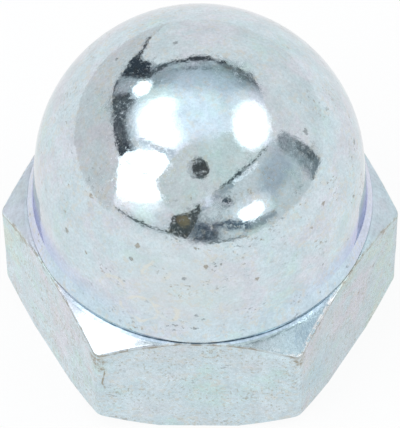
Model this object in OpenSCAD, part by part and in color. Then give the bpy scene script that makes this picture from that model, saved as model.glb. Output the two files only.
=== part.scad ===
// Domed cap nut, M10 x 1.5, for a 17 mm spanner.
// It is one solid piece of steel: a hexagon below, a collar and a dome above, and a blind
// tapped hole that opens in the flat face underneath. The origin is the centre of that face.
// All sizes are in millimetres and degrees.

/* [Hexagon] */
// Width across the flats
across_flats = 17; // [15:0.5:24]
// Height of the hexagon, up to the foot of the collar
hex_h = 7.3; // [6:0.1:9]
// Radius of the six upright corners
corner_r = 0.5; // [0.1:0.1:1.5]
// Slope of the turned chamfer on top of the corners
top_chamfer = 42.5; // [20:0.5:50]
// Slope of the turned chamfer under the corners
bottom_chamfer = 39; // [20:0.5:50]
// How far the bearing face reaches past the flats before its chamfer starts
bearing_reach = 0.19; // [0.05:0.01:0.5]

/* [Collar and dome] */
// Height overall, from the bearing face to the top of the dome
overall_h = 17.75; // [16:0.25:24]
// How far the collar's foot stands back from the flats
collar_inset = 0.04; // [0.02:0.01:0.3]
// Small square step under the collar's foot
step_h = 0.15; // [0.05:0.01:0.4]
// Height of the sloping collar above that step
collar_h = 0.6; // [0.3:0.05:1.5]
// How far the neck's foot stands back from the flats, where it leaves the collar
neck_inset = 0.32; // [0.1:0.01:0.45]
// How far the dome's side stands back from the flats
dome_inset = 0.5; // [0.35:0.05:1.5]
// Angle at which the neck runs into the dome
neck_break = 1; // [0.5:0.5:5]

/* [Tapped hole] */
// Nominal diameter of the thread
thread_d = 10; // [6:1:12]
// Pitch of the thread
thread_pitch = 1.5; // [1:0.25:1.75]
// Thickness of metal left between the drill's tip and the top of the dome
crown_t = 2.2; // [1.2:0.1:4]
// Angle of the drill's point
drill_point = 118; // [90:1:140]
// How far the countersink opens past the thread's nominal diameter
mouth_over = 0.8; // [0.2:0.1:1.5]
// Angle of the countersink
countersink = 120; // [90:5:130]

/* [Hidden] */
$fn = 96;
corner_steps = 8;
past = 1;  // how far a cutting shape runs past the face that it opens

flat_r = across_flats/2;
corner_at = (flat_r - corner_r)/cos(30);
bar_r = corner_at + corner_r + past;
bearing_r = flat_r + bearing_reach;

collar_r = flat_r - collar_inset;
collar_z = hex_h + step_h;
neck_r = flat_r - neck_inset;
neck_z = collar_z + collar_h;
dome_r = flat_r - dome_inset;
dome_z = overall_h - dome_r;
// The neck's side ends just under the dome's skin, where it comes closest to the dome's centre.
seam_at = dome_r*cos(neck_break);
neck_draft = atan2(neck_z - dome_z, neck_r) + acos(seam_at/norm([neck_r, neck_z - dome_z]));

drill_r = (thread_d - thread_pitch)/2;
mouth_r = (thread_d + mouth_over)/2;
mouth_h = (mouth_r - drill_r)/tan(countersink/2);
point_h = drill_r/tan(drill_point/2);
tip_z = overall_h - crown_t;

// Hexagon with rounded corners, with one flat facing -Y.
module hexagon_outline() {
    polygon([
        for (corner = [0:5], step = [0:corner_steps])
            let (a = corner*60 - 30 + step*60/corner_steps)
            corner_at*[cos(corner*60), sin(corner*60)] + corner_r*[cos(a), sin(a)]
    ]);
}

module hexagon_bar() {
    translate([0, 0, -past]) linear_extrude(height = overall_h + 2*past) hexagon_outline();
}

// All that is turned below the dome: both chamfers, the square step, the collar and the neck.
module turned_blank() {
    rotate_extrude() polygon([
        [0, 0],
        [bearing_r, 0],
        [bar_r, (bar_r - bearing_r)*tan(bottom_chamfer)],
        [bar_r, hex_h - (bar_r - collar_r)*tan(top_chamfer)],
        [collar_r, hex_h],
        [collar_r, collar_z],
        [neck_r, neck_z],
        [seam_at*cos(neck_draft), dome_z + seam_at*sin(neck_draft)],
        [0, dome_z + seam_at*sin(neck_draft)]
    ]);
}

module dome() {
    intersection() {
        translate([0, 0, dome_z]) sphere(r = dome_r);
        translate([0, 0, neck_z]) cylinder(h = overall_h, r = bar_r);
    }
}

// Drilled, pointed and countersunk hole, at the tapping size of the thread.
module tapping_hole() {
    rotate_extrude() polygon([
        [0, -past],
        [mouth_r + past*tan(countersink/2), -past],
        [drill_r, mouth_h],
        [drill_r, tip_z - point_h],
        [0, tip_z]
    ]);
}

module cap_nut() {
    color([0.80, 0.86, 0.88])
    difference() {
        intersection() {
            hexagon_bar();
            union() {
                turned_blank();
                dome();
            }
        }
        tapping_hole();
    }
}

cap_nut();
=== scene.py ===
"""Domed hexagon cap nut in bright zinc plate, on a pale floor in a small studio."""

import math

import bmesh
import bpy
from mathutils import Matrix, Vector


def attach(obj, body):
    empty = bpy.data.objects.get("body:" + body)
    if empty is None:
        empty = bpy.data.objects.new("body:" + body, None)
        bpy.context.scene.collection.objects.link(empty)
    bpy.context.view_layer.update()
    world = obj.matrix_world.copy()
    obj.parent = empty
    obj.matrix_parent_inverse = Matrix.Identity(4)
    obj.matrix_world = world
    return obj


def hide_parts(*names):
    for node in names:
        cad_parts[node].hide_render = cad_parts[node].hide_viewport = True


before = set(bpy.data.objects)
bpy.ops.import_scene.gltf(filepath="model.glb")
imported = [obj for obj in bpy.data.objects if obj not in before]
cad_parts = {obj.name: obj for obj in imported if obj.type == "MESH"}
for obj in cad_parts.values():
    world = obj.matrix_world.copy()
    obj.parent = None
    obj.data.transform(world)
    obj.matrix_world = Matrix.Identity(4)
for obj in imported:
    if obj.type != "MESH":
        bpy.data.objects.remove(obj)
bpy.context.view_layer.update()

MM = 0.001

# Sizes of the nut in millimetres and degrees, on the CAD model's own values. A tooth of the tap is given by
# radius and half its height, and the lands by inner radius and slope.
ACROSS_FLATS = 17.0
HEX_H = 7.3
CORNER_R = 0.5
TOP_CHAMFER = 42.5
BOTTOM_CHAMFER = 39.0
BEARING_R = 8.69
COLLAR_R = 8.46
COLLAR_Z = 7.45
NECK_R = 8.18
NECK_Z = 8.05
DOME_R = 8.0
OVERALL_H = 17.75
DOME_Z = OVERALL_H - DOME_R
NECK_DRAFT = 5.0
BAR_R = 11.0
DRILL_R = 4.25
MOUTH_R = 5.4
COUNTERSINK_H = 0.664
DRILL_DEPTH = 12.996
DRILL_TIP = 15.55
PITCH = 1.5
THREAD_R = 5.0
THREAD_TOP = 12.0
TURNS_AROUND = 360
DOME_RINGS = 84
TOOTH_ROOT = (4.10, 0.613)
TOOTH_CREST = (5.0, 0.094)
LAND_R = 8.70
LANDS = ((8.60, 33.0), (8.46, 20.0))
EDGE_ROUND = 0.05
UNEVEN = 0.05
UNEVEN_SPREAD = 2.2
WELD = 0.02


# ---------------------------------------------------------------- modelling

def start_clean():
    """Leave edit mode with nothing selected."""
    if bpy.context.object and bpy.context.object.mode != "OBJECT":
        bpy.ops.object.mode_set(mode="OBJECT")
    bpy.ops.object.select_all(action="DESELECT")


def activate(piece):
    start_clean()
    piece.select_set(True)
    bpy.context.view_layer.objects.active = piece


def turned(name, profile, around):
    """Solid of revolution about Z: a ring extruded and resized along the profile, closed at both ends."""
    start_clean()
    (first_r, first_z), steps = profile[0], profile[1:]
    bpy.ops.mesh.primitive_circle_add(vertices=around, radius=first_r * MM, fill_type="TRIFAN",
                                      location=(0, 0, first_z * MM))
    piece = bpy.context.object
    piece.name = name
    bpy.ops.object.transform_apply(location=True, rotation=True, scale=True)
    bpy.ops.object.mode_set(mode="EDIT")
    bpy.ops.mesh.select_mode(type="EDGE")
    bpy.ops.mesh.select_all(action="SELECT")
    bpy.ops.mesh.region_to_loop()
    r, z = first_r, first_z
    for next_r, next_z in steps:
        bpy.ops.mesh.extrude_edges_move(TRANSFORM_OT_translate={"value": (0, 0, (next_z - z) * MM)})
        if next_r > 0:
            bpy.ops.transform.resize(value=(next_r / r, next_r / r, 1), center_override=(0, 0, 0))
        else:
            bpy.ops.mesh.merge(type="CENTER")
        r, z = next_r, next_z
    bpy.ops.mesh.select_all(action="SELECT")
    bpy.ops.mesh.normals_make_consistent(inside=False)
    bpy.ops.object.mode_set(mode="OBJECT")
    return piece


def cut(piece, tool, operation):
    """Boolean the tool into the piece and throw the tool away."""
    activate(piece)
    step = piece.modifiers.new("cut", "BOOLEAN")
    step.operation = operation
    step.object = tool
    step.solver = "EXACT"
    bpy.ops.object.modifier_apply(modifier=step.name)
    bpy.data.objects.remove(tool)


def line(r0, z0, r1, z1, count):
    """Points after the first on a straight run of the profile."""
    return [(r0 + (r1 - r0) * i / count, z0 + (z1 - z0) * i / count) for i in range(1, count + 1)]


def blank_profile():
    """Outline of the turned blank, from the bearing face up to the crown."""
    top = math.tan(math.radians(TOP_CHAMFER))
    bottom = math.tan(math.radians(BOTTOM_CHAMFER))
    draft = math.radians(NECK_DRAFT)
    points = [(BEARING_R, 0)]
    points += [(BAR_R, (BAR_R - BEARING_R) * bottom), (BAR_R, HEX_H - (BAR_R - COLLAR_R) * top)]
    land_z = HEX_H - (LAND_R - COLLAR_R) * top
    points += line(BAR_R, points[-1][1], LAND_R, land_z, 12)
    outer = LAND_R
    for inner, slope in LANDS:
        land_z += (outer - inner) * math.tan(math.radians(slope))
        points.append((inner, land_z))
        outer = inner
    points.append((COLLAR_R, COLLAR_Z))
    points += line(COLLAR_R, COLLAR_Z, NECK_R, NECK_Z, 3)
    seam = (DOME_R * math.cos(draft), DOME_Z + DOME_R * math.sin(draft))
    points += line(NECK_R, NECK_Z, seam[0], seam[1], 10)
    for i in range(1, DOME_RINGS):
        a = draft + (math.pi / 2 - draft) * i / DOME_RINGS
        points.append((DOME_R * math.cos(a), DOME_Z + DOME_R * math.sin(a)))
    points.append((0, OVERALL_H))
    return points


def hexagon_bar():
    """Hexagon bar with rounded corners, longer than the nut at both ends."""
    start_clean()
    bpy.ops.mesh.primitive_cylinder_add(vertices=6, radius=ACROSS_FLATS / 2 / math.cos(math.pi / 6) * MM,
                                        depth=30 * MM, location=(0, 0, 10 * MM), rotation=(0, 0, math.pi / 2))
    bar = bpy.context.object
    bpy.ops.object.transform_apply(location=True, rotation=True, scale=True)
    step = bar.modifiers.new("corners", "BEVEL")
    step.width = CORNER_R * math.tan(math.pi / 6) * MM
    step.segments = 8
    step.limit_method = "ANGLE"
    step.angle_limit = math.radians(45)
    bpy.ops.object.modifier_apply(modifier=step.name)
    return bar


def select_faces(piece, wanted):
    """Select the faces whose middle and normal pass the test, and show only those in edit mode."""
    bpy.ops.object.mode_set(mode="OBJECT")
    for part in (piece.data.vertices, piece.data.edges):
        part.foreach_set("select", [False] * len(part))
    for face in piece.data.polygons:
        face.select = wanted(face.center / MM, face.normal)
    bpy.ops.object.mode_set(mode="EDIT")
    bpy.ops.mesh.select_mode(type="FACE")
    bpy.ops.mesh.hide(unselected=True)


def slice_visible(at, way):
    bpy.ops.mesh.select_all(action="SELECT")
    bpy.ops.mesh.bisect(plane_co=at * MM, plane_no=way)


def uneven_skin(nut):
    """Slice the hexagon's sides finely and let its skin wander by a few hundredths of a millimetre."""
    activate(nut)
    select_faces(nut, lambda at, normal: abs(normal.z) < 0.1 and at.xy.length > 8.4 and at.z < HEX_H)
    for i in range(1, 18):
        slice_visible(Vector((0, 0, HEX_H * i / 18)), (0, 0, 1))
    bpy.ops.mesh.reveal(select=False)
    half = ACROSS_FLATS / 2 * math.tan(math.pi / 6)
    for turn in (0, 60, 120):
        across = Vector((math.sin(math.radians(turn)), math.cos(math.radians(turn)), 0))
        along = Vector((across.y, -across.x, 0))
        select_faces(nut, lambda at, normal: abs(normal.dot(across)) > 0.999 and at.z < HEX_H)
        for i in range(1, 22):
            slice_visible(along * half * (2 * i / 22 - 1) * 0.97, along)
        bpy.ops.mesh.reveal(select=False)
    bpy.ops.object.mode_set(mode="OBJECT")
    hexagon = nut.vertex_groups.new(name="hexagon")
    for v in nut.data.vertices:
        z = v.co.z / MM
        if math.hypot(v.co.x, v.co.y) > 8.47 * MM and 1 < z < HEX_H:
            hexagon.add([v.index], min(1, z - 1, (HEX_H - z) * 4), "REPLACE")
    grain = bpy.data.textures.new("uneven", "CLOUDS")
    grain.noise_scale = UNEVEN_SPREAD * MM
    grain.noise_depth = 2
    skin = nut.modifiers.new("uneven", "DISPLACE")
    skin.texture = grain
    skin.texture_coords = "LOCAL"
    skin.vertex_group = "hexagon"
    skin.strength = UNEVEN * MM
    skin.mid_level = 0.6
    bpy.ops.object.modifier_apply(modifier=skin.name)


def tap():
    """Thread-cutting tool: one tooth screwed up the hole, trimmed to the tap's tapered lead."""
    start_clean()
    bpy.ops.mesh.primitive_plane_add(size=1, location=(0, 0, 0), rotation=(math.pi / 2, 0, 0))
    tooth = bpy.context.object
    tooth.name = "tap"
    bpy.ops.object.transform_apply(location=True, rotation=True, scale=True)
    bpy.ops.object.mode_set(mode="EDIT")
    bpy.ops.mesh.select_mode(type="VERT")
    for sign, (radius, half) in ((1, TOOTH_CREST), (-1, TOOTH_ROOT)):
        bpy.ops.mesh.select_all(action="DESELECT")
        bpy.ops.object.mode_set(mode="OBJECT")
        for v in tooth.data.vertices:
            v.select = v.co.x * sign > 0
        bpy.ops.object.mode_set(mode="EDIT")
        bpy.ops.transform.resize(value=(1, 1, half * 2 * MM), center_override=(0, 0, 0))
        bpy.ops.transform.translate(value=(radius * MM - 0.5 * sign, 0, 0))
    bpy.ops.mesh.select_all(action="SELECT")
    bpy.ops.mesh.delete(type="ONLY_FACE")
    bpy.ops.mesh.select_all(action="SELECT")
    bpy.ops.transform.translate(value=(0, 0, -1.5 * PITCH * MM))
    bpy.ops.object.mode_set(mode="OBJECT")
    turn = tooth.modifiers.new("turns", "SCREW")
    turn.axis = "Z"
    turn.screw_offset = PITCH * MM
    turn.iterations = 10
    turn.steps = turn.render_steps = 72
    turn.use_merge_vertices = False
    bpy.ops.object.modifier_apply(modifier=turn.name)
    bpy.ops.object.mode_set(mode="EDIT")
    bpy.ops.mesh.select_all(action="SELECT")
    bpy.ops.mesh.remove_doubles(threshold=0.0001 * MM)
    bpy.ops.mesh.select_mode(type="EDGE")
    bpy.ops.mesh.select_all(action="DESELECT")
    bpy.ops.mesh.select_non_manifold(extend=False)
    bpy.ops.mesh.fill_holes(sides=4)
    bpy.ops.mesh.select_all(action="SELECT")
    bpy.ops.mesh.normals_make_consistent(inside=False)
    bpy.ops.object.mode_set(mode="OBJECT")
    body_r, end = THREAD_R + 0.4, THREAD_TOP + 0.7
    lead = [(body_r, -1.2), (body_r, THREAD_TOP - 2.2), (4.0, end), (0, end)]
    cut(tooth, turned("tap_lead", lead, 96), "INTERSECT")
    return tooth


def weld(piece, distance):
    """Merge points closer than that, in millimetres, so that a bevel has room."""
    activate(piece)
    bpy.ops.object.mode_set(mode="EDIT")
    bpy.ops.mesh.select_all(action="SELECT")
    bpy.ops.mesh.remove_doubles(threshold=distance * MM)
    bpy.ops.mesh.dissolve_degenerate(threshold=0.001 * MM)
    bpy.ops.object.mode_set(mode="OBJECT")


def true_bearing_face(nut):
    """Press the rim of the bearing face back into one plane after a weld."""
    activate(nut)
    bpy.ops.object.mode_set(mode="EDIT")
    bpy.ops.mesh.select_mode(type="VERT")
    bpy.ops.mesh.select_all(action="DESELECT")
    bpy.ops.object.mode_set(mode="OBJECT")
    for v in nut.data.vertices:
        radius = math.hypot(v.co.x, v.co.y) / MM
        v.select = 8.4 < radius < BEARING_R + 0.06 and abs(v.co.z) < 0.05 * MM
    bpy.ops.object.mode_set(mode="EDIT")
    bpy.ops.transform.resize(value=(1, 1, 0), center_override=(0, 0, 0))
    bpy.ops.object.mode_set(mode="OBJECT")


def break_edges(nut):
    """Small round on the top arcs of the flats, the collar's rim and the hole's mouth."""
    activate(nut)
    bpy.ops.object.mode_set(mode="EDIT")
    bpy.ops.mesh.select_mode(type="EDGE")
    bpy.ops.mesh.select_all(action="DESELECT")
    mesh = bmesh.from_edit_mesh(nut.data)
    for edge in mesh.edges:
        middle = (edge.verts[0].co + edge.verts[1].co) / 2 / MM
        radius = math.hypot(middle.x, middle.y)
        arc = radius > LAND_R + 0.06 and middle.z > 3
        rim = radius > 8.4 and middle.z > COLLAR_Z - 0.02
        mouth = radius < 6 and middle.z < 1
        if edge.calc_face_angle(0) > math.radians(16) and (arc or rim or mouth):
            edge.select = True
    bmesh.update_edit_mesh(nut.data)
    bpy.ops.transform.edge_bevelweight(value=1)
    bpy.ops.object.mode_set(mode="OBJECT")
    step = nut.modifiers.new("edges", "BEVEL")
    step.width = EDGE_ROUND * MM
    step.segments = 2
    step.limit_method = "WEIGHT"
    step.use_clamp_overlap = False
    step.loop_slide = False
    bpy.ops.object.modifier_apply(modifier=step.name)


def cap_nut():
    """The whole nut: blank trimmed to the hexagon, drilled, its edges broken, then tapped."""
    nut = turned("cap_nut_forging", blank_profile(), TURNS_AROUND)
    cut(nut, hexagon_bar(), "INTERSECT")
    hole = [(MOUTH_R + 1.732, -1.0), (DRILL_R, COUNTERSINK_H), (DRILL_R, DRILL_DEPTH), (0, DRILL_TIP)]
    cut(nut, turned("drill", hole, 120), "DIFFERENCE")
    weld(nut, WELD)
    true_bearing_face(nut)
    break_edges(nut)
    uneven_skin(nut)
    cut(nut, tap(), "DIFFERENCE")
    weld(nut, WELD / 10)
    bpy.ops.object.shade_smooth_by_angle(angle=math.radians(11))
    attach(nut, "root")
    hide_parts("cap_nut")
    return nut


# ---------------------------------------------------------------- node helper

class Graph:
    """Writes a node tree one call at a time. Each call returns the new node's first output."""

    def __init__(self, tree):
        self.tree = tree
        tree.nodes.clear()

    def add(self, kind, inputs=None, **settings):
        node = self.tree.nodes.new(kind)
        for key, value in settings.items():
            setattr(node, key, value)
        for key, value in (inputs or {}).items():
            if isinstance(value, bpy.types.NodeSocket):
                self.tree.links.new(value, node.inputs[key])
            else:
                node.inputs[key].default_value = value
        return node

    def math(self, operation, *values):
        return self.add("ShaderNodeMath", dict(enumerate(values)), operation=operation).outputs[0]

    def times(self, first, *others):
        """All the values multiplied together."""
        for other in others:
            first = self.math("MULTIPLY", first, other)
        return first

    def dot(self, a, b):
        return self.add("ShaderNodeVectorMath", {0: a, 1: b}, operation="DOT_PRODUCT").outputs["Value"]

    def ramp(self, value, low, high, to_low=0.0, to_high=1.0, smooth=True):
        kind = "SMOOTHSTEP" if smooth else "LINEAR"
        return self.add("ShaderNodeMapRange", {0: value, 1: low, 2: high, 3: to_low, 4: to_high},
                        interpolation_type=kind, clamp=True).outputs[0]

    def mix(self, factor, a, b, blend="MIX"):
        node = self.add("ShaderNodeMix", {0: factor, 6: a, 7: b}, data_type="RGBA", blend_type=blend)
        return node.outputs[2]


# ---------------------------------------------------------------- studio

BULB = (2.3, 2.35, 2.4)
DARK = (0.05, 0.06, 0.075)
SMOKE = (0.40, 0.43, 0.45)
CARD = (0.80, 0.785, 0.78)
SWEEP = (0.92, 0.915, 0.91)
SCREEN = (0.80, 0.85, 0.82)


def toward(azimuth, elevation):
    """Unit direction. Azimuth 0 is behind the nut, +Y, and grows toward +X."""
    a, e = math.radians(azimuth), math.radians(elevation)
    return Vector((math.sin(a) * math.cos(e), math.cos(a) * math.cos(e), math.sin(e)))


class Studio(Graph):
    """World light laid shape over shape. Places, sizes and soft edges are in degrees, seen from the nut."""

    def __init__(self, tree):
        super().__init__(tree)
        self.ray = self.add("ShaderNodeTexCoord").outputs["Generated"]
        height = self.add("ShaderNodeSeparateXYZ", {0: self.ray}).outputs[2]
        self.el = self.math("MULTIPLY", self.math("ARCSINE", height), 180 / math.pi)
        self.lumps = self.pattern(13.0, 0.6)
        self.crumbs = self.pattern(34.0, 0.6)
        self.grit = self.pattern(62.0, 0.7)
        self.colour = self.mix(self.ramp(self.el, 49, 62), (0.42, 0.47, 0.50, 1), (0.66, 0.73, 0.80, 1))

    def pattern(self, scale, roughness):
        return self.add("ShaderNodeTexNoise", {"Vector": self.ray, "Scale": scale, "Detail": 2.0,
                                               "Roughness": roughness}).outputs[0]

    def disc(self, azimuth, elevation, radius, soft):
        near = self.dot(self.ray, tuple(toward(azimuth, elevation)))
        outside, inside = math.radians(radius + soft), math.radians(max(radius - soft, 0.01))
        return self.ramp(near, math.cos(outside), math.cos(inside))

    def facet(self, corners, soft):
        """Flat convex shape with straight sides, corners counter-clockwise as seen from the nut."""
        mask = None
        edge = math.sin(math.radians(soft))
        for start, end in zip(corners, corners[1:] + corners[:1]):
            side = toward(*end).cross(toward(*start)).normalized()
            inside = self.ramp(self.dot(self.ray, tuple(side)), -edge, edge)
            mask = inside if mask is None else self.math("MINIMUM", mask, inside)
        return mask

    def panel(self, azimuth, elevation, wide, high, soft, roundness=3.0):
        """Rounded panel square to the nut; wide and high are half its angles, soft is a share of them."""
        out, side, up = toward(azimuth, elevation), toward(azimuth + 90, 0), toward(azimuth, elevation + 90)
        ahead = self.math("MAXIMUM", self.dot(self.ray, tuple(out)), 0.02)
        total = None
        for way, half in ((side, wide), (up, high)):
            reach = self.math("DIVIDE", self.dot(self.ray, tuple(way / math.tan(math.radians(half)))), ahead)
            power = self.math("POWER", self.math("ABSOLUTE", reach), roundness)
            total = power if total is None else self.math("ADD", total, power)
        return self.ramp(total, (1 + soft) ** roundness, (1 - soft) ** roundness)

    def strip(self, start, end, half):
        """Straight strip between two directions; half is half its width."""
        way = toward(*end) - toward(*start)
        along = way.normalized()
        middle = ((toward(*start) + toward(*end)) / 2).normalized()
        reach = way.length / 2 + math.radians(half)
        beside = self.math("ABSOLUTE", self.dot(self.ray, tuple(along.cross(middle))))
        past = self.math("SUBTRACT", self.dot(self.ray, tuple(along)), middle.dot(along))
        near = self.math("MINIMUM", self.ramp(beside, math.radians(half + 0.4), math.radians(half - 0.4)),
                         self.ramp(self.math("ABSOLUTE", past), reach + 0.005, reach - 0.005))
        return self.times(near, self.ramp(self.dot(self.ray, tuple(middle)), 0.0, 0.5))

    def broken(self, mask, pattern, low, high, least=0.0):
        """The mask in lumps, crumbs or grit instead of whole."""
        return self.times(mask, self.ramp(pattern, low, high, least, 1.0))

    def lay(self, mask, paint, strength=1.0):
        """Put a shape over the ones before it. The next one waits for it, which keeps the shader small."""
        if strength != 1.0:
            mask = self.times(mask, strength)
        self.colour = self.mix(mask, self.colour, (*paint, 1))
        self.ray = self.add("ShaderNodeVectorMath", {0: self.colour, 1: (1e-7,) * 3, 2: self.ray},
                            operation="MULTIPLY_ADD").outputs[0]

    def board(self, corners, soft, paint, strength=1.0):
        self.lay(self.facet(corners, soft), paint, strength)


def ceiling(s):
    """Pale overhead, and a light gap, a rail and a shelf above the sweep."""
    s.lay(s.ramp(s.el, 60, 80), (1.12, 1.11, 1.18))
    s.lay(s.ramp(s.el, 8, 3), (0.95, 0.95, 0.95))
    s.board([(-30, 40), (20, 40), (22, 50.5), (-6, 51), (-30, 49)], 1.2, (0.66, 0.71, 0.74), 0.9)
    rail = s.facet([(-30, 48.8), (-8, 51.6), (22, 51.2), (24, 53.0), (-8, 53.6), (-30, 50.6)], 0.6)
    s.lay(s.broken(rail, s.lumps, 0.38, 0.50), (0.18, 0.21, 0.23), 0.9)
    gap = s.facet([(-30, 42), (20, 40), (20, 51), (-24, 50)], 1.5)
    s.lay(s.broken(gap, s.crumbs, 0.50, 0.62), (0.24, 0.27, 0.29), 0.8)
    s.board([(-45, 41), (-28, 41), (-12, 42), (-12, 44.6), (-28, 45.6), (-44, 47.5)], 0.7, (0.10, 0.12, 0.13))
    s.board([(-22, 40), (20, 40), (20, 44.2), (-22, 45.2)], 0.5, (0.06, 0.07, 0.08))
    shelf = s.facet([(14, 40), (34, 34.5), (62, 42), (57, 48), (34, 50), (14, 53)], 1.6)
    s.lay(shelf, (0.34, 0.37, 0.39))
    s.lay(s.broken(shelf, s.crumbs, 0.40, 0.55), (0.14, 0.155, 0.165))
    under_shelf = s.facet([(14, 41), (36, 36), (36, 40.5), (14, 45.5)], 0.8)
    s.lay(s.broken(under_shelf, s.lumps, 0.36, 0.46, 0.5), (0.06, 0.07, 0.08))


def dark_room(s):
    """Dark of the room on the left, with two softboxes and the round lamp."""
    s.board([(-106, 30), (-50, 22), (-57, 38), (-60, 45), (-72, 47), (-92, 47.5), (-108, 45)], 0.8, DARK)
    glints = s.facet([(-104, 34), (-60, 28), (-62, 46), (-96, 46)], 2)
    s.lay(s.broken(glints, s.crumbs, 0.42, 0.62, 0.1), (0.13, 0.15, 0.16))
    s.lay(s.broken(glints, s.grit, 0.53, 0.63), (0.36, 0.39, 0.40), 0.7)
    s.board([(-54, 25), (-30, 20), (-30, 36), (-38, 42), (-46, 40)], 0.8, DARK)
    haze = s.facet([(-59, 28), (-47, 26), (-44, 41), (-56, 44)], 2)
    s.lay(haze, SMOKE, 0.8)
    s.lay(s.broken(haze, s.grit, 0.46, 0.58), (0.72, 0.77, 0.80), 0.8)
    s.lay(s.panel(-98, 65, 24, 20, 0.35, 2.4), (1.2, 1.25, 1.3))
    s.lay(s.panel(-96, 65.5, 16.6, 14.8, 0.30, 2.1), BULB)
    s.board([(-146, 56), (-124, 53), (-104, 44), (-103, 50), (-120, 57), (-146, 61)], 1.8,
            (0.62, 0.68, 0.73), 0.85)
    s.lay(s.panel(90, 57, 22, 18, 0.35, 2.0), (1.08, 1.12, 1.16), 0.9)
    s.lay(s.disc(-52.2, 45.4, 5.4, 1.8), BULB)


def card_and_sweep(s):
    """Grey card on the left and the white sweep behind, with the crack between them."""
    s.board([(-124, -12), (-48, -12), (-48, 24), (-60, 27.8), (-80, 31.5), (-103, 32.5), (-114, 28)], 0.5,
            CARD)
    s.board([(-52, -12), (0, -12), (-9, 6), (-20, 17), (-34, 22), (-48, 24)], 0.5, CARD)
    s.board([(-30, 22), (-23, 14), (-9.5, 0), (2.5, -11.5), (70, -12), (70, 30), (-32, 30)], 0.5, SWEEP)
    s.board([(-30, 22), (16, 22), (16, 43), (-10, 43.3), (-19, 45), (-31, 43)], 0.5, SWEEP)
    s.board([(8, 12), (34, 12), (34, 38), (8, 43.5)], 0.6, SWEEP)
    s.board([(32, 12), (60, 12), (60, 44), (32, 37.5)], 0.6, SWEEP)
    s.board([(56, -12), (88, -12), (95, 43), (56, 44)], 0.6, SWEEP)
    crack = [(-36, 22), (-30, 21.6), (-26, 19.8), (-23, 15), (-20, 11), (-15, 6)]
    for start, end, half, strength in zip(crack, crack[1:], (1.3, 1.0, 0.8, 0.6, 0.4), (1, 1, 1, 0.9, 0.45)):
        s.lay(s.strip(start, end, half), DARK, strength)


def screen(s):
    """Grey screen round the lens, and the glow of the right softbox over its corner."""
    s.board([(105, 40), (179, 30), (-158, 42), (-150, 62), (160, 78), (110, 64)], 1.0, SCREEN)
    s.board([(178, 21), (-162, 18), (-138, 35), (-146, 57), (180, 74), (178, 40)], 1.0, SCREEN)
    s.lay(s.ramp(s.el, 67, 79), (1.10, 1.16, 1.24))
    s.lay(s.panel(92, 55.4, 14.2, 10.8, 0.42, 2.0), BULB)


def reflector(s):
    """White reflector at the front left, and the pale ground in front of it."""
    s.board([(-164, 6), (-120, 5), (-119, 12), (-150, 27), (-164, 22)], 1.2, (0.90, 0.89, 0.90))
    s.board([(-146, 20), (-150, 12), (-122, 6), (-119, 14), (-132, 30)], 4, (1.15, 1.15, 1.15))
    s.board([(-154, 22), (-146, 15), (-124, 9), (-117, 20), (-112, 30), (-141, 36)], 4, (1.3, 1.3, 1.3), 0.9)
    s.board([(-152, 27), (-140, 20), (-122, 13), (-113, 24), (-107, 31), (-141, 38)], 1.4, BULB)
    s.board([(-141, 36), (-107, 30), (-107.5, 38), (-113, 46), (-124, 52), (-136, 55.5), (-146, 53)], 0.9,
            BULB)


def right_corner(s):
    """Blue-grey corner at the front right, with a post, a small lamp and what lies there."""
    s.board([(86, -4), (179, 3), (179, 29.5), (107, 40.5), (92, 38), (85, 30)], 0.8, (0.77, 0.79, 0.79))
    s.board([(100, 17), (128, 14), (133, 24), (122, 37), (98, 36)], 5, (0.53, 0.58, 0.63))
    s.board([(97, 2), (126, 4), (128, 14), (100, 18)], 4, (0.72, 0.755, 0.755), 0.6)
    corner = s.facet([(96, 3), (114, 4), (114, 18), (98, 17)], 2)
    s.lay(s.broken(corner, s.crumbs, 0.55, 0.63), (0.40, 0.43, 0.42), 0.7)
    post = s.facet([(84.5, 0), (97, 0), (99, 33), (91, 37), (85, 32)], 1.5)
    s.lay(post, (0.58, 0.64, 0.66), 0.9)
    s.lay(s.broken(post, s.grit, 0.42, 0.56, 0.12), (0.20, 0.225, 0.24))
    post_edge = s.facet([(83.5, 1), (90, 1), (91, 22), (86, 24)], 1.4)
    s.lay(s.broken(post_edge, s.crumbs, 0.40, 0.55, 0.25), (0.12, 0.14, 0.15))
    s.board([(84, -1), (97, -1), (96, 4), (85, 6)], 1.2, (0.25, 0.28, 0.30), 0.8)
    s.lay(s.panel(143, 15.6, 14, 9, 0.3), (1.0, 1.03, 1.05), 0.8)
    s.board([(128, 3), (151, 3.5), (151, 11), (128, 8)], 1.6, (0.26, 0.30, 0.33), 0.8)
    s.board([(147, 5), (162, 9), (162, 15.5), (147, 11.5)], 1.4, (0.14, 0.18, 0.22))
    s.board([(158, 11.5), (179, 12), (179, 15.2), (158, 15.2)], 0.9, (0.13, 0.16, 0.20))
    seam = s.facet([(104, 37.8), (142, 41.3), (171, 32.5), (170, 35.2), (142, 44.2), (104, 41.2)], 0.5)
    s.lay(s.broken(seam, s.lumps, 0.30, 0.40, 0.45), (0.07, 0.09, 0.10))
    s.board([(168, 28), (177, 27), (178, 32), (170, 36)], 1.0, (1.0, 1.06, 1.12))
    s.board([(121, 39.0), (148, 37.8), (148, 40.0), (121, 41.0)], 0.7, (1.3, 1.33, 1.36), 0.8)
    s.lay(s.disc(158, 28, 3.8, 0.9), (0.09, 0.12, 0.14))
    s.lay(s.panel(143, 15.6, 9, 5.3, 0.2, 2.2), BULB)


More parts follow.
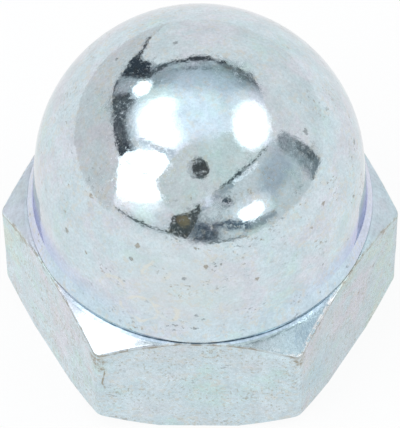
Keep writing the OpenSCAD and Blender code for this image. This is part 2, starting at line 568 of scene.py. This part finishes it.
def foot(s):
    """Dark foot of the screen, the lens, and the dark line where the table ends."""
    litter = s.facet([(166, 1.5), (-176, 2.5), (-178, 17), (168, 15)], 3)
    s.lay(litter, (0.34, 0.39, 0.43), 0.8)
    s.lay(s.broken(litter, s.crumbs, 0.36, 0.54, 0.2), (0.08, 0.10, 0.125))
    s.board([(-174, 4), (-161, 6), (-162, 19.5), (-173, 23.5), (179, 22), (-179, 17)], 0.6,
            (0.09, 0.10, 0.10))
    s.board([(178, 22), (-173, 22), (179, 31)], 0.6, (0.09, 0.10, 0.10))
    s.lay(s.disc(-170, 17, 3.6, 2), (0.24, 0.20, 0.13))
    s.lay(s.disc(180, 53.6, 7.3, 0.6), (0.14, 0.165, 0.165))
    s.lay(s.disc(-175.2, 53.4, 5.6, 0.5), (0.62, 0.66, 0.66), 0.9)
    s.lay(s.disc(177.8, 53.5, 5.2, 0.5), (0.075, 0.085, 0.085))
    s.lay(s.disc(177, 50.8, 1.2, 0.5), (0.5, 0.53, 0.53), 0.6)
    edge_line = s.facet([(-162, 5.2), (-140, 5.6), (-121, 4.6), (-121, 5.8), (-140, 7.4), (-162, 7.6)], 0.4)
    s.lay(s.broken(edge_line, s.lumps, 0.34, 0.46, 0.3), (0.08, 0.10, 0.10))
    s.board([(150, 0.8), (175, 0.2), (175, 1.6), (150, 2.0)], 0.5, (0.16, 0.19, 0.20))
    s.lay(s.ramp(s.el, 0.6, -0.6), (1.0, 1.0, 1.0))


def studio_light():
    """What stands around the nut and lights it. The camera itself sees plain white behind the nut."""
    world = bpy.data.worlds.new("studio")
    bpy.context.scene.world = world
    world.use_nodes = True
    world.cycles.sampling_method = "NONE"
    s = Studio(world.node_tree)
    for part in (ceiling, dark_room, card_and_sweep, screen, reflector, right_corner, foot):
        part(s)
    path = s.add("ShaderNodeLightPath").outputs
    seen = s.add("ShaderNodeBackground", {"Color": (1, 1, 1, 1), "Strength": 1.0}).outputs[0]
    light = s.add("ShaderNodeBackground", {"Color": s.colour, "Strength": 1.0}).outputs[0]
    shown = s.add("ShaderNodeMixShader", {0: path["Is Camera Ray"], 1: light, 2: seen}).outputs[0]
    s.add("ShaderNodeOutputWorld", {"Surface": shown})


# Floor in metres; the camera's distances in millimetres, its angles in degrees.
FLOOR_SIZE = 3.0
FLOOR_GLOW = 0.90
CAMERA_ELEVATION, CAMERA_TURN, CAMERA_TILT = 54.306, 1.16922, -0.59285
CAMERA_AWAY = 179.09
CAMERA_LENS = 306.02
AIM_HEIGHT = 5.997


def floor():
    """Pale floor that mostly shows white and keeps a faint shadow of the nut."""
    start_clean()
    bpy.ops.mesh.primitive_plane_add(size=FLOOR_SIZE, location=(0, 0, 0))
    ground = bpy.context.object
    ground.name = "floor"
    paint = bpy.data.materials.new("pale_floor")
    paint.use_nodes = True
    g = Graph(paint.node_tree)
    matt = g.add("ShaderNodeBsdfDiffuse", {"Color": (0.95, 0.95, 0.95, 1)}).outputs[0]
    glow = g.add("ShaderNodeEmission", {"Color": (1, 1, 1, 1), "Strength": 1.0}).outputs[0]
    path = g.add("ShaderNodeLightPath").outputs
    direct = g.math("MAXIMUM", path["Is Camera Ray"], path["Is Glossy Ray"])
    direct = g.math("MAXIMUM", direct, path["Is Transmission Ray"])
    shown = g.add("ShaderNodeMixShader", {0: g.times(direct, FLOOR_GLOW), 1: matt, 2: glow}).outputs[0]
    g.add("ShaderNodeOutputMaterial", {"Surface": shown})
    ground.data.materials.append(paint)


def camera():
    """Long lens looking down at the nut from the front, a touch to the right."""
    elevation, turn, tilt = (math.radians(a) for a in (CAMERA_ELEVATION, CAMERA_TURN, CAMERA_TILT))
    target = Vector((0, 0, AIM_HEIGHT * MM))
    level = math.cos(elevation)
    back = Vector((math.sin(turn) * level, -math.cos(turn) * level, math.sin(elevation)))
    right = Vector((math.cos(turn), math.sin(turn), 0))
    up = back.cross(right)
    side = math.cos(tilt) * right + math.sin(tilt) * up
    top = -math.sin(tilt) * right + math.cos(tilt) * up
    place = Matrix((side, top, back)).transposed().to_4x4()
    place.translation = target + back * CAMERA_AWAY * MM
    lens = bpy.data.cameras.new("camera")
    lens.sensor_width = 36
    lens.lens = CAMERA_LENS
    lens.clip_start = 0.005
    lens.clip_end = 20
    holder = bpy.data.objects.new("camera", lens)
    holder.matrix_world = place
    bpy.context.collection.objects.link(holder)
    bpy.context.scene.camera = holder


# ---------------------------------------------------------------- finish

# Passivation colours from greenish through blue and neutral to pink, by their place on the hue scale.
PASSIVATION = ((0.28, (0.64, 0.74, 0.69)), (0.36, (0.575, 0.745, 0.74)), (0.44, (0.61, 0.735, 0.795)),
               (0.52, (0.64, 0.725, 0.775)), (0.60, (0.685, 0.695, 0.77)), (0.72, (0.60, 0.73, 0.79)))

# Marks and stains, listed: centre and radius, in millimetres. Curls have a ring's radius and its thickness.
DOME_MARKS = (((5.0, -2.1, 15.6), 0.15), ((-1.1, 1.6, 17.5), 0.12), ((-3.9, 1.3, 16.6), 0.10),
              ((-7.3, -2.8, 10.9), 0.10), ((-6.2, -4.8, 11.3), 0.14), ((-5.2, -5.8, 11.0), 0.13),
              ((-2.8, -6.8, 12.9), 0.14), ((-3.1, -7.0, 12.1), 0.12), ((0.4, -7.5, 12.3), 0.13),
              ((-0.6, -7.8, 11.6), 0.13), ((2.8, -7.4, 11.1), 0.11), ((1.0, -7.8, 8.5), 0.15),
              ((-0.1, -8.0, 9.0), 0.13), ((3.9, -6.9, 8.2), 0.11), ((5.9, -4.4, 13.0), 0.13),
              ((7.4, -2.7, 11.3), 0.12), ((5.9, -5.4, 9.5), 0.10))
EDGE_STAINS = (((-4.9, -8.4, 5.6), 0.48), ((-4.75, -8.5, 5.0), 0.26), ((4.87, -8.4, 5.6), 0.38),
               ((-3.3, -8.5, 6.6), 0.12), ((-8.7, -1.9, 6.6), 0.24), ((-8.5, -2.3, 6.8), 0.18),
               ((-9.1, -1.3, 6.6), 0.20), ((7.8, -3.5, 4.3), 0.12), ((9.0, -1.4, 6.5), 0.16))
CURLS = (((-4.0, -6.85, 9.9), 0.62, 0.09), ((-2.0, -7.45, 11.7), 0.60, 0.08),
         ((-1.4, -7.8, 9.1), 0.52, 0.09), ((-2.7, -7.5, 8.9), 0.85, 0.07))


class Surface(Graph):
    """Node graph with the nut's own measures at hand, all in millimetres from the object's origin."""

    def __init__(self, tree):
        super().__init__(tree)
        place = self.add("ShaderNodeTexCoord").outputs["Object"]
        self.mm = self.add("ShaderNodeVectorMath", {0: place, "Scale": 1 / MM}, operation="SCALE").outputs[0]
        self.x, self.y, self.z = self.add("ShaderNodeSeparateXYZ", {0: self.mm}).outputs
        level = self.add("ShaderNodeCombineXYZ", {0: self.x, 1: self.y}).outputs[0]
        self.radius = self.add("ShaderNodeVectorMath", {0: level}, operation="LENGTH").outputs["Value"]
        c, s = math.cos(math.pi / 6), 0.5
        across = [self.math("ABSOLUTE", self.dot(self.mm, way)) for way in ((0, 1, 0), (c, s, 0), (c, -s, 0))]
        self.flat = self.math("MAXIMUM", self.math("MAXIMUM", across[0], across[1]), across[2])
        self.wide = self.math("ABSOLUTE", self.x)
        self.find_parts()

    def find_parts(self):
        """Masks for the flats, the dome, the neck band, which takes the passivation's violet gloss and a
        painted violet shade, and the top chamfer.
        """
        self.on_flat = self.times(self.ramp(self.flat, 8.40, 8.46), self.ramp(self.z, 7.5, 7.3))
        self.on_dome = self.ramp(self.z, 7.6, 8.1)
        self.neck_band = self.times(self.ramp(self.z, 7.98, 8.1), self.ramp(self.z, 9.6, 8.7))
        self.front = self.ramp(self.math("ABSOLUTE", self.y), 8.2, 8.4)
        self.side = self.times(self.on_flat, self.other_than(self.front))
        slope = math.tan(math.radians(TOP_CHAMFER))
        cone = self.math("MULTIPLY_ADD", self.radius, -slope, HEX_H + COLLAR_R * slope)
        self.under = self.times(self.math("SUBTRACT", cone, self.z), math.cos(math.radians(TOP_CHAMFER)))
        on_cone = self.times(self.ramp(self.under, 0.03, 0.01), self.ramp(self.z, 4.0, 4.2))
        on_land = self.times(self.ramp(self.radius, LAND_R + 0.03, LAND_R + 0.01),
                             self.ramp(self.z, 7.0, 7.05), self.ramp(self.flat, 8.46, 8.42))
        self.on_chamfer = self.times(self.math("MAXIMUM", on_cone, on_land),
                                     self.ramp(self.radius, 8.44, 8.48), self.ramp(self.z, 7.31, 7.29))
        self.crumpled = self.times(self.on_chamfer, self.near((5.6, -7.1, 6.7), 2.0, 0.8))
        # Painted highlight mask: a glint along the crumpled chamfer's edge by the flats; gloss dulls it there
        # too.
        self.painted_glint = self.times(self.crumpled, self.ramp(self.flat, 8.30, 8.42),
                               self.ramp(self.noise(3, 3, 0.6, shift=(2, 2, 8)), 0.40, 0.52))

    def other_than(self, mask):
        return self.math("SUBTRACT", 1.0, mask)

    def paint(self, mask, colour, over, strength=1.0):
        """Lay a colour over what is there, where the mask is."""
        if strength != 1.0:
            mask = self.times(mask, strength)
        return self.mix(mask, over, (*colour, 1))

    def noise(self, scale, detail=2.0, roughness=0.5, stretch=(1, 1, 1), shift=(0, 0, 0)):
        place = self.add("ShaderNodeMapping", {"Vector": self.mm, "Scale": stretch, "Location": shift})
        return self.add("ShaderNodeTexNoise", {"Vector": place.outputs[0], "Scale": scale, "Detail": detail,
                                               "Roughness": roughness}).outputs[0]

    def pushed(self, scale, push):
        """The place, pushed about by up to that many millimetres, for ragged outlines."""
        way = self.add("ShaderNodeTexNoise", {"Vector": self.mm, "Scale": scale, "Detail": 2.0})
        return self.add("ShaderNodeVectorMath", {0: way.outputs["Color"], 1: (push,) * 3, 2: self.mm},
                        operation="MULTIPLY_ADD").outputs[0]

    def wander(self, scale, push):
        """The same, but pushed to both sides alike, so that nothing drifts off its place."""
        moved = self.pushed(scale, push)
        return self.add("ShaderNodeVectorMath", {0: moved, 1: (-push / 2,) * 3}, operation="ADD").outputs[0]

    def gap(self, place, centre):
        return self.add("ShaderNodeVectorMath", {0: place, 1: centre}, operation="DISTANCE").outputs["Value"]

    def near(self, centre, radius, soft):
        """1 inside a ball of that radius, fading out over soft."""
        return self.ramp(self.gap(self.mm, centre), radius + soft, radius - soft)

    def specks(self, spacing, share, radius, stretch, ragged):
        """Scattered spots: one to a cell of that spacing, in a share of the cells."""
        place = self.add("ShaderNodeMapping", {"Vector": self.pushed(5.0, ragged), "Scale": stretch})
        cell = self.add("ShaderNodeTexVoronoi", {"Vector": place.outputs[0], "Scale": 1 / spacing}).outputs
        pick, size, _ = self.add("ShaderNodeSeparateColor", {0: cell["Color"]}).outputs
        reach = self.times(self.ramp(size, 0, 1, 0.45, 1.0, smooth=False), radius / spacing)
        spot = self.ramp(self.math("DIVIDE", cell["Distance"], reach), 1.15, 0.6)
        return self.times(spot, self.math("LESS_THAN", pick, share))

    def largest(self, masks):
        total = masks[0]
        for mask in masks[1:]:
            total = self.math("MAXIMUM", total, mask)
        return total


def passivation(g):
    """Passivation colours in soft patches; the left corner greenish, the front calmer than the sides."""
    hue = g.noise(0.42, 5, 0.68, shift=(3, 1, 0))
    hue = g.math("MULTIPLY_ADD", g.times(g.side, g.ramp(g.x, -7.0, -9.6)), -0.11, hue)
    hue = g.math("MULTIPLY_ADD", g.times(g.side, g.ramp(g.x, 7.8, 9.4)), -0.05, hue)
    hue = g.math("MULTIPLY_ADD", g.front, g.math("MULTIPLY_ADD", hue, -0.45, 0.18), hue)
    hue = g.math("MULTIPLY_ADD", g.side, -0.03, hue)
    for centre, reach, push in (((7.4, -4.3, 4.9), 1.5, 0.16), ((-6.4, -5.9, 5.9), 0.6, 0.09),
                                ((-5.8, -7.0, 2.8), 1.2, -0.07), ((6.2, 6.0, 3.5), 1.4, 0.10)):
        hue = g.math("MULTIPLY_ADD", g.near(centre, reach, 1.1), push, hue)
    tints = g.add("ShaderNodeValToRGB", {0: hue})
    bar = tints.color_ramp
    for end, (position, paint) in ((0, PASSIVATION[0]), (1, PASSIVATION[-1])):
        bar.elements[end].position, bar.elements[end].color = position, (*paint, 1)
    for position, paint in PASSIVATION[1:-1]:
        bar.elements.new(position).color = (*paint, 1)
    colour = g.paint(g.on_dome, (0.61, 0.72, 0.77), tints.outputs[0], 0.3)
    low_right = g.times(g.near((5.7, -7.1, 2.6), 1.1, 1.2), g.on_flat)
    return g.paint(low_right, (0.50, 0.70, 0.78), colour, 0.8)


def neck_painted_light(g, colour):
    """Painted light round the neck: a light blue painted reflection, going to a violet painted shade at its
    two sides.
    """
    neck = g.times(g.ramp(g.z, 7.2, 7.5), g.ramp(g.z, 9.3, 7.9))
    # Painted reflection in light blue ahead, painted violet shade toward the two sides.
    neck_light_paint = g.mix(g.ramp(g.wide, 6.9, 7.8), (0.575, 0.715, 0.815, 1), (0.635, 0.685, 0.84, 1))
    colour = g.mix(g.times(neck, g.ramp(g.wide, 1.0, 6.5, 0.25, 0.8)), colour, neck_light_paint)
    # Painted shade: violet over the neck band at the two sides.
    return g.paint(g.times(g.neck_band, g.ramp(g.wide, 7.35, 7.8)), (0.50, 0.52, 0.80), colour, 0.35)


def chamfer_painted_light(g, colour):
    """Chamfers with painted light: a pale painted reflection, and at the front right a crumpled one painted
    bright blue as a reflection, with a dark painted reflection for a tail, painted shade in the crease at the
    collar and a bright painted highlight on its edge.
    """
    # Painted reflection: the chamfers pale, paler on the left than on the right.
    pale_reflection_paint = g.mix(g.ramp(g.x, -1, 1), (0.74, 0.79, 0.88, 1), (0.65, 0.76, 0.825, 1))
    pale = g.times(g.on_chamfer, g.other_than(g.near((5.6, -7.1, 6.7), 2.0, 0.8)))
    colour = g.mix(g.times(pale, 0.65), colour, pale_reflection_paint)
    # Painted reflection: the crumpled chamfer painted bright blue.
    colour = g.paint(g.crumpled, (0.66, 0.84, 0.93), colour, 0.9)
    # Painted dark reflection: a dark tail on the chamfer at the front right.
    tail = g.times(g.on_chamfer, g.near((6.5, -6.0, 7.0), 0.8, 0.5),
                   g.ramp(g.noise(7, 2, 0.6, shift=(8, 8, 2)), 0.42, 0.56, 0.35, 0.9))
    colour = g.paint(tail, (0.30, 0.41, 0.49), colour)
    # Painted shade in the crease where the chamfer meets the collar, away from the sides.
    gutter_shade = g.times(g.on_chamfer, g.ramp(g.radius, 8.72, 8.58), g.ramp(g.wide, 6.8, 6.0),
                     g.ramp(g.noise(4, 2, 0.6, shift=(1, 5, 5)), 0.36, 0.54, 0.45, 0.9))
    colour = g.paint(gutter_shade, (0.43, 0.53, 0.61), colour)
    # Painted highlight: a bright white glint on the edge of the crumpled chamfer.
    return g.paint(g.painted_glint, (0.97, 0.98, 0.99), colour)


def clouding_and_side_light(g, colour):
    """Cloudy tone with a finer mottle over it, and painted light and shade by side: the flats lifted, the
    left side lighter, the right one darker.
    """
    cloud = g.ramp(g.noise(1.1, 5, 0.66, shift=(2, 8, 1)), 0.32, 0.68, 0.91, 1.07, smooth=False)
    mottle = g.ramp(g.noise(7, 3, 0.75), 0.34, 0.66, 0.90, 1.07, smooth=False)
    # Painted light and shade: flats lighter than the dome, the angled sides more than the front and back, the
    # left ones lighter still, the right ones darker.
    side_light = g.math("MULTIPLY_ADD", g.front, 0.03, g.math("MULTIPLY_ADD", g.side, 0.06, 1.0))
    side_light = g.math("MULTIPLY_ADD", g.times(g.side, g.ramp(g.x, 3.0, 6.0)), -0.10, side_light)
    side_light = g.math("MULTIPLY_ADD", g.times(g.side, g.ramp(g.x, -3.0, -6.0)), 0.05, side_light)
    shade = g.times(cloud, mottle, side_light)
    grey = g.add("ShaderNodeCombineColor", {0: shade, 1: shade, 2: shade}).outputs[0]
    colour = g.mix(1.0, colour, grey, blend="MULTIPLY")
    low_front = g.times(g.near((-0.8, -7.4, 10.6), 2.6, 2.0), g.on_dome)
    return g.paint(low_front, (0.65, 0.695, 0.71), colour, 0.45)


def speckling(g, colour):
    """Warm flecks, pepper on the flats, and brown and grey spots. Returns the colour and the spots."""
    cluster = g.ramp(g.noise(0.35, 2, 0.5, shift=(9, 4, 2)), 0.38, 0.56, 0.35, 1.0)
    cluster = g.math("MAXIMUM", cluster, g.near((-1.2, -7.4, 10.4), 2.0, 1.6))
    warm = g.times(g.ramp(g.noise(3.5, 3, 0.6, shift=(6, 3, 7)), 0.50, 0.62), cluster,
                   g.ramp(g.noise(0.9, 3, 0.6, shift=(1, 7, 3)), 0.36, 0.52), g.other_than(g.on_chamfer))
    colour = g.paint(warm, (0.655, 0.65, 0.59), colour, 0.55)
    cluster = g.times(cluster, g.ramp(g.z, 16.9, 15.2, 0.3, 1.0))
    pepper = g.times(g.ramp(g.noise(6, 2, 0.6, shift=(3, 9, 1)), 0.55, 0.66), g.on_flat,
                     g.ramp(g.noise(0.7, 2, 0.5, shift=(5, 2, 6)), 0.40, 0.56, 0.15, 0.75))
    colour = g.paint(pepper, (0.44, 0.45, 0.39), colour)
    large = g.specks(0.85, 0.32, 0.17, stretch=(0.7, 0.7, 1.5), ragged=0.5)
    flecks = g.times(g.ramp(g.noise(5, 2, 0.55, stretch=(1, 1, 1.3), shift=(8, 1, 5)), 0.57, 0.66),
                     g.ramp(g.noise(0.8, 2, 0.5, shift=(2, 6, 4)), 0.52, 0.64))
    spots = g.math("MAXIMUM", g.times(large, 0.6), g.times(flecks, 0.55))
    spots = g.times(spots, cluster, g.other_than(g.on_chamfer))
    ragged = g.wander(6.0, 0.28)
    for centre, reach in DOME_MARKS:
        mark = g.ramp(g.gap(ragged, centre), reach * 1.25, reach * 0.7, 0.0, 0.62)
        spots = g.math("MAXIMUM", spots, mark)
    brown_or_grey = g.mix(g.ramp(g.noise(0.8, 1, 0.5, shift=(4, 4, 4)), 0.45, 0.55),
                          (0.36, 0.30, 0.21, 1), (0.27, 0.30, 0.31, 1))
    return g.mix(spots, colour, brown_or_grey), spots


def edge_stains(g, colour):
    """Brownish line under the top edges of the flats, stains at corners, a streak at the front left."""
    wander = g.math("MULTIPLY_ADD", g.noise(1.6, 2, 0.5), 0.12, 0.02)
    rim = g.times(g.ramp(g.math("ABSOLUTE", g.math("SUBTRACT", g.under, wander)), 0.075, 0.03), g.on_flat,
                  g.ramp(g.noise(2.2, 3, 0.6, shift=(5, 5, 5)), 0.38, 0.60, 0.2, 0.9))
    colour = g.paint(rim, (0.34, 0.32, 0.27), colour)
    stain = g.largest([g.near(centre, reach, min(0.22, reach * 0.8)) for centre, reach in EDGE_STAINS])
    off_streak = g.math("ADD", g.x, g.math("MULTIPLY_ADD", g.noise(0.9, 2, 0.5), 0.7, 4.25))
    streak = g.times(g.ramp(g.math("ABSOLUTE", off_streak), 0.08, 0.02), g.ramp(g.z, 3.0, 3.6),
                     g.ramp(g.z, 5.3, 4.9), g.front)
    stain = g.times(g.math("MAXIMUM", stain, streak), g.on_flat,
                    g.ramp(g.noise(5, 3, 0.65), 0.38, 0.58, 0.1, 0.95))
    return g.paint(stain, (0.36, 0.33, 0.26), colour)


def collar_shade_lines(g, colour):
    """Painted shade: a dark line round the foot of the collar, and a fine dark ring on the land outside it.
    """
    patchy = g.noise(2.2, 3, 0.6, shift=(5, 5, 5))
    ahead = g.ramp(g.wide, 6.2, 3.6, 0.08, 1.0)
    # Painted shade low in the step at the collar's foot.
    step = g.times(g.ramp(g.math("ABSOLUTE", g.math("SUBTRACT", g.radius, COLLAR_R)), 0.04, 0.02),
                   g.ramp(g.z, 7.30, 7.27), g.ramp(g.z, 7.14, 7.17), ahead,
                   g.ramp(patchy, 0.36, 0.56, 0.5, 1.0))
    # Painted shade along the ring where the land meets the chamfer.
    ring = g.times(g.ramp(g.math("ABSOLUTE", g.math("SUBTRACT", g.radius, LAND_R)), 0.05, 0.01), 0.5,
                   g.on_chamfer, ahead, g.ramp(patchy, 0.40, 0.58))
    return g.paint(g.math("MAXIMUM", step, ring), (0.15, 0.21, 0.26), colour)


def straw_curls(g, colour):
    """Straw-coloured curls low on the front of the dome."""
    bent = g.wander(0.9, 0.9)
    bands = []
    for centre, ring_r, thick in CURLS:
        off_ring = g.math("ABSOLUTE", g.math("SUBTRACT", g.gap(bent, centre), ring_r))
        bands.append(g.ramp(off_ring, thick * 1.8, thick * 0.5))
    curl = g.times(g.largest(bands), g.ramp(g.noise(1.3, 2, 0.5, shift=(7, 0, 2)), 0.40, 0.60, 0.0, 0.75))
    return g.paint(curl, (0.73, 0.735, 0.67), colour)


def gloss(g, spots):
    """Roughness: a bright dome with duller patches and grains, duller chamfers at the sides, satin flats."""
    patch = g.noise(3.2, 4, 0.65, shift=(6, 2, 9))
    for centre in ((-3.7, -1.8, 16.6), (4.7, -3.6, 15.2), (1.7, 0.2, 17.5), (0.6, -6.3, 14.6)):
        patch = g.math("MULTIPLY_ADD", g.near(centre, 0.9, 0.8), 0.10, patch)
    grain = g.times(g.ramp(g.noise(8.5, 2, 0.6), 0.57, 0.72, 0.0, 0.15),
                    g.other_than(g.near((0.1, -4.6, 16.3), 0.75, 0.2)))
    turned_gloss = g.math("ADD", g.ramp(patch, 0.52, 0.76, 0.055, 0.30), grain)
    turned_gloss = g.math("MULTIPLY_ADD", g.on_chamfer, g.ramp(g.wide, 5.2, 6.4, 0.10, 0.44), turned_gloss)
    turned_gloss = g.math("MAXIMUM", turned_gloss, g.times(g.painted_glint, 0.5))
    flat_gloss = g.ramp(g.noise(9, 2, 0.6), 0.3, 0.7, 0.24, 0.38, smooth=False)
    roughness = g.math("ADD", g.times(g.on_flat, flat_gloss), g.times(g.other_than(g.on_flat), turned_gloss))
    return g.math("MAXIMUM", roughness, g.times(spots, 0.7))


def relief(g):
    """Faint waviness all over, a grainier skin on the flats, small dents on the chamfers."""
    def bump(height, metres, under=None):
        inputs = {"Strength": 1.0, "Distance": metres, "Height": height}
        if under is not None:
            inputs["Normal"] = under
        return g.add("ShaderNodeBump", inputs).outputs[0]

    normal = bump(g.noise(2.0, 3, 0.55, shift=(1, 2, 3)), 0.000006)
    normal = bump(g.times(g.noise(5, 4, 0.65, stretch=(1, 1, 0.7)), g.on_flat), 0.000004, normal)
    depth = g.math("MULTIPLY_ADD", g.crumpled, 1.3, g.times(g.on_chamfer, 0.2))
    return bump(g.times(g.noise(2.6, 3, 0.6, shift=(4, 8, 2)), depth), 0.00002, normal)


def zinc_plate():
    """Bright zinc with a blue-white passivation. Seen edge-on, the passivation in the neck shines violet. The
    colour also holds painted light: reflections, a glint and shade on the neck, the chamfers and the collar,
    and lighter and darker sides.
    """
    plate = bpy.data.materials.new("zinc_plate")
    plate.use_nodes = True
    g = Surface(plate.node_tree)
    colour = chamfer_painted_light(g, neck_painted_light(g, passivation(g)))
    colour, spots = speckling(g, clouding_and_side_light(g, colour))
    colour = straw_curls(g, collar_shade_lines(g, edge_stains(g, colour)))
    grazing_tint = g.mix(g.neck_band, (0.93, 0.92, 0.92, 1), (0.80, 0.785, 0.96, 1))
    metal = g.add("ShaderNodeBsdfPrincipled", {"Base Color": colour, "Metallic": 1.0,
                                              "Roughness": gloss(g, spots), "Specular Tint": grazing_tint,
                                              "Normal": relief(g)}).outputs[0]
    g.add("ShaderNodeOutputMaterial", {"Surface": metal})
    return plate


camera()
studio_light()
floor()
nut = cap_nut()
nut.data.materials.append(zinc_plate())

bpy.context.scene.view_settings.view_transform = "Standard"
